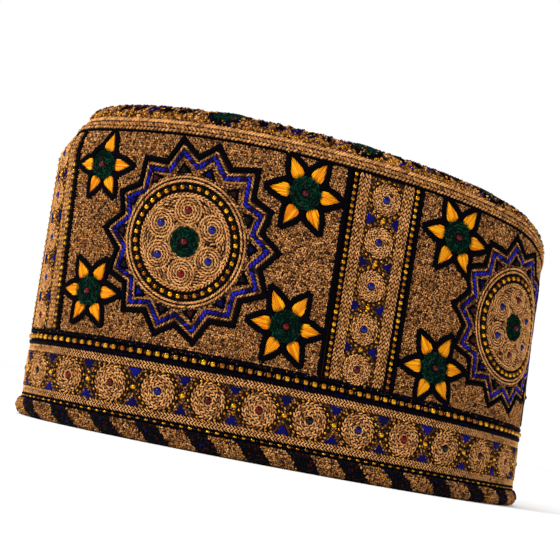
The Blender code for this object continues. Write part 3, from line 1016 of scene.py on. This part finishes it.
def make_rosette_band():
    """The band of rosettes between the braids, on dark cotton sewn all over with beads."""
    stitches, sewn = Stitching("tan_cotton"), Stitching("gold_glass")
    pitch = RIM_LENGTH / ROSETTES
    for number in range(ROSETTES):
        centre = (ROSETTE_START + pitch * number, ROSETTE_HEIGHT)
        finish = ROSETTE_BEADS[number % len(ROSETTE_BEADS)]
        make_rosette(stitches, centre, BAND_ROSETTE_RINGS, 1.8)
        sewn.put(finish, ROUND_BEAD, centre, 0.6, 0.3, ROSETTE_BEAD, (0.6, 0.2))
        ring_of_beads(sewn, centre, 8.0, 7.4, 20, 1.1, 0.85)
        between = centre[0] + 0.5 * pitch
        sewn.put("gold_glass", ROUND_BEAD, (between, centre[1]), 0.6, 0.0, (1.9, 1.9, 1.6), (0.85, 0.1))
        for way in (-1.0, 1.0):
            base = centre[1] + way * 6.9
            stitches.put("navy_silk", TRIANGLE, (between, base), 0.2, 0.0 if way < 0 else math.pi,
                         (5.3, 3.4, 1.6), (0.25, 0.2))
            stitches.use("tan_ground")
            for side in (-1.0, 1.0):
                stitches.couch(
                    [(between + side * 3.3, base - way * 0.1), (between + side * 0.7, base - way * 4.2)],
                    0.4, 0.4, lift=0.3, step=3.0, tone=0.15)
    scatter_small_beads(sewn, pitch)
    along, height = hexagonal(0.0, RIM_LENGTH, 12.9, 26.5, 1.25)
    beside = np.mod(along - ROSETTE_START + 0.5 * pitch, pitch) - 0.5 * pitch
    free = np.hypot(beside / 8.8, (height - ROSETTE_HEIGHT) / 8.1) > 1.0
    strew_ground(stitches.use("tan_ground"), along[free], height[free], 0.4, (0.3, 0.25))
    place_piece("rosette_band_stitches", stitches, replaced=("rosette_band",))
    place_piece("rosette_band_beads", sewn)


def scatter_small_beads(sewn, pitch):
    """Small black and gold beads that fill the gaps between two rosettes."""
    between = ROSETTE_START + pitch * (np.arange(ROSETTES) + 0.5)
    for finish, size, corners in (
        ("black_glass", 1.0, ((-1.3, -1.7), (1.3, -1.7), (-1.3, 1.7), (1.3, 1.7))),
        ("gold_glass", 0.9, ((0.0, -2.6), (0.0, 2.6))),
    ):
        across, up = np.array(corners).T
        along = (between[:, None] + across).ravel()
        turn = RNG.uniform(0.0, TAU, len(along))
        rows = rows_of(along, np.tile(ROSETTE_HEIGHT + up, ROSETTES), 0.45, turn, size, size, size)
        sewn.use(finish).strew(BEAD, rows)


def make_upper_bead_row():
    """Square-cut beads between two laid black lines, with dark and tan stitches between them."""
    work = Stitching("black_silk")
    for height in (30.75, 35.3):
        work.couch(level(height), 1.8, 0.9, caps=False, lift=0.2, step=2.0)
    work.couch(level(UPPER_BEADS + 0.1), 3.2, 0.35, caps=False, lift=0.15, step=2.0)
    pitch = RIM_LENGTH / UPPER_BEAD_COUNT
    work.use("gold_glass")
    beads(work, level(UPPER_BEADS + 0.1), pitch, (1.8, 1.8, 1.6), lift=0.75, shape=CUT_BEAD,
          tone=(0.52, 0.25))
    along = np.arange(UPPER_BEAD_COUNT) * pitch
    for side in (-1.0, 1.0):
        rows = rows_of(along, UPPER_BEADS + 0.1 + side * 0.57, 0.5, side * 0.57, 1.5, 0.8, 0.8)
        work.use("black_knots").strew(STRAND, rows, (0.4, 0.3))
    rows = rows_of(along + 0.25, UPPER_BEADS + 0.1, 0.62, 1.2, 1.5, 0.6, 0.7)
    work.use("tan_ground").strew(STRAND, rows, (0.3, 0.2))
    for finish, height in (("navy_silk", 30.75), ("maroon_silk", 30.75), ("navy_silk", 35.3),
                           ("tan_ground", 35.3)):
        spots = RNG.uniform(0.0, RIM_LENGTH, 240)
        heights = height + RNG.normal(0.0, 0.4, 240)
        strew_ground(work.use(finish), spots, heights, 1.0, (0.25, 0.2), 0.9, 0.5, 0.4)
    place_piece("upper_bead_row", work, replaced=("bead_row_upper",), merge=True)


def inside(outline, along, height):
    """Which places lie inside a closed outline."""
    outline = np.asarray(outline, float)
    found = np.zeros(len(along), dtype=bool)
    for (x0, y0), (x1, y1) in zip(outline, np.roll(outline, -1, axis=0)):
        crosses = (y0 > height) != (y1 > height)
        slope = (x1 - x0) / (y1 - y0) if y1 != y0 else 0.0
        found ^= crosses & (along < x0 + (height - y0) * slope)
    return found


def strew_ground(work, along, height, lift, tone, long=1.5, wide=0.9, thick=0.95):
    """Rice stitches that lie every way, as on the tan ground."""
    turn = RNG.uniform(0.0, TAU, len(along))
    work.strew(GRAIN, rows_of(along, height, lift, turn, long, wide, thick), tone)


def hexagonal(first, last, low, high, pitch):
    """Places in a loose honeycomb over a rectangle."""
    along, height = np.meshgrid(
        np.arange(first, last, pitch), np.arange(low, high, pitch * 0.87), indexing="ij")
    along = along + 0.5 * pitch * (np.arange(along.shape[1]) % 2)[None, :]
    spread = RNG.normal(0.0, 0.13 * pitch, (2,) + along.shape)
    return (along + spread[0]).ravel(), (height + spread[1]).ravel()


def honeycomb_round(centre, reach, pitch):
    """Places in a loose honeycomb round a centre, and how far each is from it."""
    low, high = np.array(centre) - reach, np.array(centre) + reach
    along, height = hexagonal(low[0], high[0], low[1], high[1], pitch)
    return along, height, np.hypot(along - centre[0], height - centre[1])


def star_tips(number):
    """Turn and reach of each tip of a star; the left front one is worked unevenly."""
    if number == LEFT_STAR:
        along, height = np.array(LEFT_STAR_CHART, float).T
        return np.mod(np.arctan2(height, along), TAU), np.hypot(along, height) / STAR_REACH
    return np.arange(STAR_TIPS) * TAU / STAR_TIPS, np.ones(STAR_TIPS)


def star_outline(number, tip=STAR_REACH, valley=STAR_VALLEY):
    """A star's zigzag: tips and valleys by turns."""
    centre = PANEL_STARS[number - 1]
    turns, reaches = star_tips(number)
    after = np.append(turns[1:], turns[0] + TAU)
    angles = np.stack([turns, 0.5 * (turns + after)], axis=1).ravel()
    between = 0.5 * (reaches + np.roll(reaches, -1))
    radii = np.stack([tip * reaches, valley * between], axis=1).ravel()
    return polar(centre, radii, angles)


def petal_turns(flower):
    """Where each petal of a flower points; the one with five leaves a gap at its upper left."""
    if flower[2] == 5:
        return np.radians(FIVE_PETALS)
    return math.radians(flower[3]) + np.arange(flower[2]) * TAU / flower[2]


def flower_outline(flower):
    """The laid black edge: out along each petal, round its blunt tip and back."""
    places = []
    turns = petal_turns(flower)
    for turn, after in zip(turns, np.append(turns[1:], turns[0] + TAU)):
        for radius, offset in ((11.6, -13.5), (15.1, -2.0), (15.1, 2.0), (11.6, 13.5), (8.3, 29.0)):
            places.append((radius, turn + math.radians(offset)))
        gap = after - turn - math.radians(60.0)
        if gap > 0.15:
            for share in (0.33, 0.66, 1.0):
                places.append((8.0, turn + math.radians(30.0) + gap * share))
    radii, angles = np.array(places).T
    return polar(flower, radii * flower[4], angles)


def make_panel_grounds():
    """The dense tan ground of the four panels, round their stars and flowers."""
    for number in range(QUARTERS):
        first = number * QUARTER + STRIP_HALF + 0.8
        last = (number + 1) * QUARTER - STRIP_HALF - 0.2
        along, height = hexagonal(first, last, PANEL_BOTTOM + 0.4, PANEL_TOP, GROUND_PITCH)
        taken = inside(star_outline(number + 1), along, height)
        for flower in FLOWERS:
            if abs(flower[0] - 0.5 * (first + last)) < 0.5 * QUARTER:
                taken |= inside(flower_outline(flower), along, height)
        work = Stitching("tan_ground")
        strew_ground(work, along[~taken], height[~taken], 0.3, (0.48, 0.23), 1.5, 0.78, 0.95)
        place_piece("panel_%d_ground_stitches" % (number + 1), work)


def make_star(number, centre):
    """A star medallion, worked outwards from its green boss."""
    work = Stitching("tan_ground")
    along, height, radius = honeycomb_round(centre, 25.5, 1.15)
    small = polar(centre, SMALL_ROSETTES_OUT, np.radians(90.0 + 60.0 * np.arange(6)))
    free = (radius > 5.4) & (radius < 16.8)
    for place in small:
        free &= np.hypot(along - place[0], height - place[1]) > 5.5
    heading = np.arctan2(height - centre[1], along - centre[0])
    rows = rows_of(along, height, 0.5, heading + 1.35, 1.7, 0.75, 0.8)
    work.strew(GRAIN, rows[free], (0.62, 0.24))
    along, height, radius = honeycomb_round(centre, 30.0, 1.1)
    free = (radius > 24.2) & inside(star_outline(number, 30.4, 25.2), along, height)
    strew_ground(work, along[free], height[free], 0.1, (0.45, 0.25))
    for place in small:
        work.use("tan_cotton")
        for radius in SMALL_ROSETTE_RINGS:
            rope(work, circle(place, radius), 1.1, closed=True, lift=0.6, pitch=1.15, slant=0.45,
                 tone=(0.72, 0.24), full=0.68, long=1.9)
    work.use("tan_cotton")
    chain(work, circle(centre, STAR_CHAIN_INNER), 1.3, closed=True, lift=0.6)
    chain(work, circle(centre, STAR_CHAIN_OUTER, points=96), 1.6, closed=True, lift=0.7, tone=(0.78, 0.2))
    for ring in STAR_ROPE_RINGS:
        rope(work, circle(centre, ring, points=120), 1.2, closed=True, lift=0.7, pitch=1.25,
             slant=0.4, tone=(0.75, 0.22), full=0.62, long=2.1)
    work.use("black_knots")
    for ring in STAR_BLACK_RINGS:
        rope(work, circle(centre, ring, points=120), 1.0, closed=True, lift=0.35, pitch=1.7,
             slant=0.2, tone=(0.4, 0.3))
    make_boss(work, centre, STAR_BOSS)
    make_star_points(work, number)
    place_piece(
        "star_%d_stitches" % number, work, replaced=("star_medallion_%d" % number,))
    sewn = Stitching("gold_glass")
    pitch = TAU * STAR_BEAD_RING / STAR_BEAD_COUNT
    bead_string(
        sewn, circle(centre, STAR_BEAD_RING, points=120), pitch, (1.55,) * 3, (1.2,) * 3, (0.65, 0.5),
        closed=True, shape=CUT_BEAD, tone=(0.55, 0.27))
    for place, finish in zip(small, STAR_BEADS):
        sewn.put(finish, ROUND_BEAD, place, 0.8, 0.3, (2.7, 2.7, 1.7), (0.6, 0.2))
    sewn.put("pink_glass", ROUND_BEAD, centre, 1.8, 0.3, BOSS_BEAD, (0.5, 0.2))
    place_piece("star_%d_beads" % number, sewn)


def make_star_points(work, number):
    """The star's zigzags: thin tan, blue, tan and the broad black edge, with dark triangles."""
    centre = PANEL_STARS[number - 1]
    for tip, turn in enumerate(star_tips(number)[0]):
        for finish, foot, lift, size, spread in (
            ("black_silk", 24.7, 0.15, (6.6, 4.3, 1.2), 0.1),
            ("maroon_silk" if tip % 3 else "navy_silk", 25.2, 0.45, (2.8, 2.1, 1.2), 0.25),
        ):
            work.put(finish, TRIANGLE, polar(centre, foot, turn), lift, turn - 0.5 * math.pi, size,
                     (0.3, spread))
    work.use("tan_cotton")
    rope(work, star_outline(number, 29.3, 24.9), 0.8, closed=True, lift=0.5, pitch=1.3, slant=0.35,
         tone=(0.45, 0.2))
    rope(work, star_outline(number, 33.5, 27.9), 1.2, closed=True, lift=0.5, pitch=1.25, slant=0.5,
         tone=(0.5, 0.22))
    work.use("blue_silk")
    rope(work, star_outline(number, 31.4, 26.2), 2.1, closed=True, lift=0.55, pitch=1.5, slant=0.7,
         tone=(0.46, 0.38), full=0.6, long=2.2)
    work.use("black_silk")
    work.couch(star_outline(number), 2.0, 1.0, closed=True, lift=0.1)


def make_boss(work, centre, reach):
    """A round boss: rings of dark green wool, fuller at its middle, with a few dark red knots."""
    work.put("green_wool", DISC, centre, 0.0, 0.0, (reach * 0.97, reach * 0.97, 1.7), (0.1, 0.02))
    rings = np.arange(reach - 0.55, 1.2, -1.15)
    for radius in rings:
        lift = 0.85 + 0.6 * (1.0 - (radius / reach) ** 2)
        along, height, heading = walk(circle(centre, radius), 1.15, closed=True)
        heading = heading + RNG.normal(0.4, 0.55, len(heading))
        rows = rows_of(along, height, lift, heading, 1.9, 1.0, 1.0, jitter=0.16)
        work.strew(STRAND, rows, (0.42, 0.36))
    turns = RNG.uniform(0.0, TAU, 4)
    away = RNG.uniform(0.4, 0.8, 4) * reach
    spots = polar(centre, away, turns)
    rows = rows_of(spots[:, 0], spots[:, 1], 1.5, turns, 1.3, 0.8, 0.7)
    work.use("maroon_silk").strew(GRAIN, rows, (0.5, 0.2))


def make_flower(number, flower):
    """A flower: yellow satin petals edged in laid black, round a green boss."""
    along, height, size = flower[0], flower[1], flower[4]
    work = Stitching("black_silk")
    work.couch(flower_outline(flower), 2.5, 1.05, closed=True, lift=0.1, step=1.4)
    for turn in petal_turns(flower):
        valley = turn + math.radians(30.0)
        near, far = 6.0 * size, 8.6 * size
        work.use("black_silk")
        work.couch(polar(flower, np.array((near, far)), valley), 2.6, 1.0, lift=0.12, step=1.3)
        work.put("yellow_silk", PETAL, flower, 0.1, turn, (size, size, 1.0), (0.3, 0.05))
        middle, sideways, long = FLOSS.T * size
        rows = rows_of(
            along + middle * math.cos(turn) - sideways * math.sin(turn),
            height + middle * math.sin(turn) + sideways * math.cos(turn),
            0.8, turn, long, 0.85, 0.75, jitter=0.02)
        work.strew(STRAND, rows, (0.5, 0.22))
    make_boss(work, (along, height), 6.2 * size)
    place_piece(
        "flower_%02d_stitches" % number, work, replaced=("flower_%02d" % number,))


def make_flower_beads():
    """The garnet bead on each flower's boss."""
    sewn = Stitching("pink_glass")
    rows = [flower[:2] + (1.8, 0.3) + BOSS_BEAD for flower in FLOWERS]
    sewn.strew(ROUND_BEAD, rows, (0.5, 0.25))
    place_piece("flower_beads", sewn)


def make_strip(number):
    """An upright strip: black edges, gold beads, chain rows and five rosettes one over another."""
    middle = (number - 1) * QUARTER
    low, high = PANEL_BOTTOM, PANEL_TOP
    work, sewn = Stitching("black_silk"), Stitching("gold_glass")

    def up(low_along, high_along):
        return [(middle + low_along, low + 0.3), (middle + high_along, high - 0.2)]

    for edge in (up(-15.7, -14.4), up(15.3, 15.6)):
        work.couch(edge, 2.0, 1.0, lift=0.1, step=3.0)
    work.use("tan_cotton")
    for place in (-10.1, -8.65, -7.2, 8.0, 9.45, 10.9):
        chain(work, up(place - 0.5, place + 0.4), 1.45, lift=0.5, pitch=1.65, tone=(0.62, 0.18))
    along, height = hexagonal(middle - 6.6, middle + 7.2, low + 1.0, high - 0.6, 1.3)
    free = np.ones(len(along), dtype=bool)
    for rosette, lean in zip(STRIP_ROSETTES, STRIP_LEAN):
        free &= np.hypot(along - middle - lean, height - rosette) > 6.0
    strew_ground(work.use("tan_ground"), along[free], height[free], 0.2, (0.28, 0.22))
    for column in (up(-12.7, -12.1), up(13.1, 13.4)):
        work.use("black_silk")
        work.couch(column, 3.0, 0.3, lift=0.1, step=3.0)
        bead_string(sewn, column, 2.35, (1.3, 1.35, 1.35), (1.1, 1.2, 1.1), (0.75, 0.5),
                    shape=CUT_BEAD, tone=(0.45, 0.33))
    for place, (height, finish) in enumerate(zip(STRIP_ROSETTES, STRIP_BEADS)):
        centre = (middle + STRIP_LEAN[place], height)
        make_rosette(work, centre, STRIP_ROSETTE_RINGS, 1.45)
        sewn.put(finish, ROUND_BEAD, centre, 0.6, 0.3, ROSETTE_BEAD, (0.6, 0.2))
        ring_of_beads(sewn, centre, 6.6, 6.9, 18, 1.0, 0.85)
        if place < len(STRIP_ROSETTES) - 1:
            beside = 0.5 * (height + STRIP_ROSETTES[place + 1])
            lean = 0.5 * (STRIP_LEAN[place] + STRIP_LEAN[place + 1])
            spot = middle + lean
            sewn.put("gold_glass", ROUND_BEAD, (spot, beside), 0.8, 0.0, (1.6, 1.6, 1.5), (0.8, 0.1))
            for side in (-1.0, 1.0):
                work.put("navy_silk", TRIANGLE, (spot + side * 6.3, beside), 0.25,
                         side * 0.5 * math.pi, (4.4, 3.1, 1.4), (0.25, 0.2))
    place_piece("strip_%d_stitches" % number, work, replaced=("strip_%d" % number,))
    place_piece("strip_%d_beads" % number, sewn)


def make_seam_cords():
    """The two cords on the crown's seam, stitches between them and a thin black line below."""
    low, high = SEAM_CORDS
    work = Stitching("tan_cord")
    chain(work, level(low), 2.3, lift=0.95, pitch=1.5, slant=0.5, tone=(0.56, 0.16))
    work.use("black_silk")
    work.couch(level(PANEL_TOP + 0.2), 0.9, 0.8, caps=False, lift=0.1, step=2.0)
    along = np.sort(RNG.uniform(0.0, RIM_LENGTH, 90))
    flecks = rows_of(
        along, low + RNG.normal(0.0, 0.5, 90), 1.4, RNG.uniform(0.0, TAU, 90), 0.9, 0.6, 0.7)
    work.use("gold_glass").strew(KNOT, flecks)
    place_piece(
        "crown_cord_lower_strands", work, replaced=("crown_cord_lower",), merge=True)
    work = Stitching("tan_cord")
    rope(work, level(high), 2.3, lift=0.95, pitch=1.2, slant=0.55, tone=(0.74, 0.2), full=0.42,
         long=2.6)
    strew_ground(work, np.arange(0.0, RIM_LENGTH, 0.9), high - 1.2, 0.6, (0.45, 0.2))
    place_piece(
        "crown_cord_upper_strands", work, replaced=("crown_cord_upper",), merge=True)


def lay_patch(work, foot, head, width):
    """A small patch of laid thread: strands side by side from its foot to its head."""
    run, rise = head[0] - foot[0], head[1] - foot[1]
    heading, long = math.atan2(rise, run), math.hypot(run, rise)
    across = np.arange(-0.5 * width + 0.4, 0.5 * width, 0.8)
    rows = rows_of(
        0.5 * (foot[0] + head[0]) - across * math.sin(heading),
        0.5 * (foot[1] + head[1]) + across * math.cos(heading), 1.15, heading, long, 1.15, 0.9)
    work.strew(STRAND, rows, (0.12, 0.12))


def make_crown_shoulder():
    """The worked shoulder of the crown: gold at its foot, dark strokes and green bosses."""
    work, sewn = Stitching("tan_ground"), Stitching("gold_glass")
    along, climb = hexagonal(0.0, RIM_LENGTH, -0.2, SHOULDER_REACH, 1.45)
    number, place = np.divmod(np.mod(along - CROWN_BOSS_START, RIM_LENGTH), CROWN_BOSS_PITCH)
    free = np.hypot(place - 0.5 * CROWN_BOSS_PITCH, climb - BOSS_CLIMB) > 7.6
    free |= number == PLAIN_PLACE
    strew_ground(work, along[free], climb[free], 0.35, (0.44, 0.28), 2.2, 1.35, 1.3)
    for number in range(CROWN_BOSSES):
        boss = CROWN_BOSS_START + CROWN_BOSS_PITCH * (number + 0.5)
        for offset, lean in CROWN_STROKES:
            work.use("navy_silk" if offset == CROWN_STROKES[0][0] else "black_silk")
            middle = boss + offset
            lay_patch(work, (middle - 0.5 * lean, 1.9), (middle + 0.5 * lean, 8.6), 3.4)
        if number != PLAIN_PLACE:
            work.use("black_silk")
            work.couch(circle((boss, BOSS_CLIMB), 6.9), 2.0, 1.1, closed=True, lift=0.3, step=1.6)
            make_boss(work, (boss, BOSS_CLIMB), 6.1)
    for count, finish, middle, spread in (
        (700, "gold_glass", 1.2, 0.8),
        (800, "gold_glass", 5.5, 3.5),
        (160, "pink_glass", 4.5, 2.2),
    ):
        along = RNG.uniform(0.0, RIM_LENGTH, count)
        climb = np.abs(RNG.normal(middle, spread, count))
        strew_ground(sewn.use(finish), along, climb, 0.95, (0.6, 0.25), 1.2, 0.85, 0.9)
    for count, finish in ((420, "maroon_silk"), (420, "tan_cotton"), (160, "navy_silk")):
        along, climb = RNG.uniform(0.0, RIM_LENGTH, count), RNG.uniform(0.8, 9.5, count)
        strew_ground(work.use(finish), along, climb, 1.2, (0.5, 0.25), 1.6, 0.9, 0.9)
    work.use("tan_cotton")
    chain(work, level(SHOULDER_REACH + 0.9), 1.8, lift=0.4, tone=(0.55, 0.2))
    place_piece("crown_shoulder_stitches", work, onto=onto_crown)
    place_piece("crown_shoulder_beads", sewn, onto=onto_crown)


def stage_floor_and_light():
    """A plain pale floor and soft studio light."""
    start_fresh()
    bpy.ops.mesh.primitive_plane_add(size=60.0, location=(0.0, 0.0, 0.0))
    floor = bpy.context.object
    floor.name = "studio_floor"
    material, _ = new_material(
        "pale_matt_paper", Base_Color=colour("floor"), Roughness=0.95, Specular_IOR_Level=0.0)
    floor.data.materials.append(material)
    for name, place, power, size in (
        ("key", (-1.7, -1.0, 1.3), 42.0, 0.45),
        ("fill", (1.4, -1.2, 0.6), 1.0, 1.0),
        ("top", (-0.3, 0.3, 1.8), 3.0, 1.2),
    ):
        light = bpy.data.lights.new(name, "AREA")
        light.energy = power
        light.size = size
        lamp = bpy.data.objects.new(name, light)
        lamp.location = place
        aim_at(lamp, (0.0, 0.0, 0.06))
        bpy.context.scene.collection.objects.link(lamp)
    world = bpy.data.worlds.new("studio")
    world.use_nodes = True
    room = world.node_tree.nodes["Background"]
    room.inputs["Color"].default_value = (1.0, 1.0, 1.0, 1.0)
    # Dark flags round the table: the room lights the cap, but glass and silk hardly reflect it
    rays = add_node(world, "ShaderNodeLightPath")
    flags = add_node(
        world, "ShaderNodeMath", {"operation": "MULTIPLY_ADD"},
        {0: rays.outputs["Is Glossy Ray"], 1: ROOM_GLOSS - 1.0, 2: 1.0})
    world.node_tree.links.new(flags.outputs[0], room.inputs["Strength"])
    bpy.context.scene.world = world
    bpy.context.scene.view_settings.view_transform = "Standard"


def aim_at(thing, target):
    way = Vector(target) - thing.location
    thing.rotation_euler = way.to_track_quat("-Z", "Y").to_euler()


def make_camera():
    sine, cosine = math.sin(CAMERA_AZIMUTH), math.cos(CAMERA_AZIMUTH)
    back = Vector((sine * math.cos(CAMERA_ELEVATION), -cosine * math.cos(CAMERA_ELEVATION),
                   math.sin(CAMERA_ELEVATION)))
    right = Vector((cosine, sine, 0.0))
    up = back.cross(right)
    data = bpy.data.cameras.new("photo_camera")
    data.sensor_width = SENSOR_WIDTH
    data.lens = FOCAL_PIXELS / PICTURE * SENSOR_WIDTH
    data.shift_x = -OFFSET_PIXELS[0] / PICTURE
    data.shift_y = OFFSET_PIXELS[1] / PICTURE
    data.clip_start = 0.01
    turn = Matrix((right, up, back)).transposed().to_4x4()
    camera = bpy.data.objects.new("photo_camera", data)
    place = back * CAMERA_DISTANCE + Vector((RIM_CENTRE[0], RIM_CENTRE[1], CAMERA_AIM_HEIGHT))
    camera.matrix_world = (Matrix.Translation(place * MM) @ turn @ Matrix.Rotation(CAMERA_ROLL, 4, "Z"))
    bpy.context.scene.collection.objects.link(camera)
    bpy.context.scene.camera = camera


make_camera()
stage_floor_and_light()
make_wall()
make_crown()
make_hem()
make_lower_bead_row()
make_braids()
make_rosette_band()
make_upper_bead_row()
make_panel_grounds()
for star_number, star_centre in enumerate(PANEL_STARS, 1):
    make_star(star_number, star_centre)
for flower_number, flower_place in enumerate(FLOWERS, 1):
    make_flower(flower_number, flower_place)
make_flower_beads()
for strip_number in range(1, QUARTERS + 1):
    make_strip(strip_number)
make_seam_cords()
make_crown_shoulder()
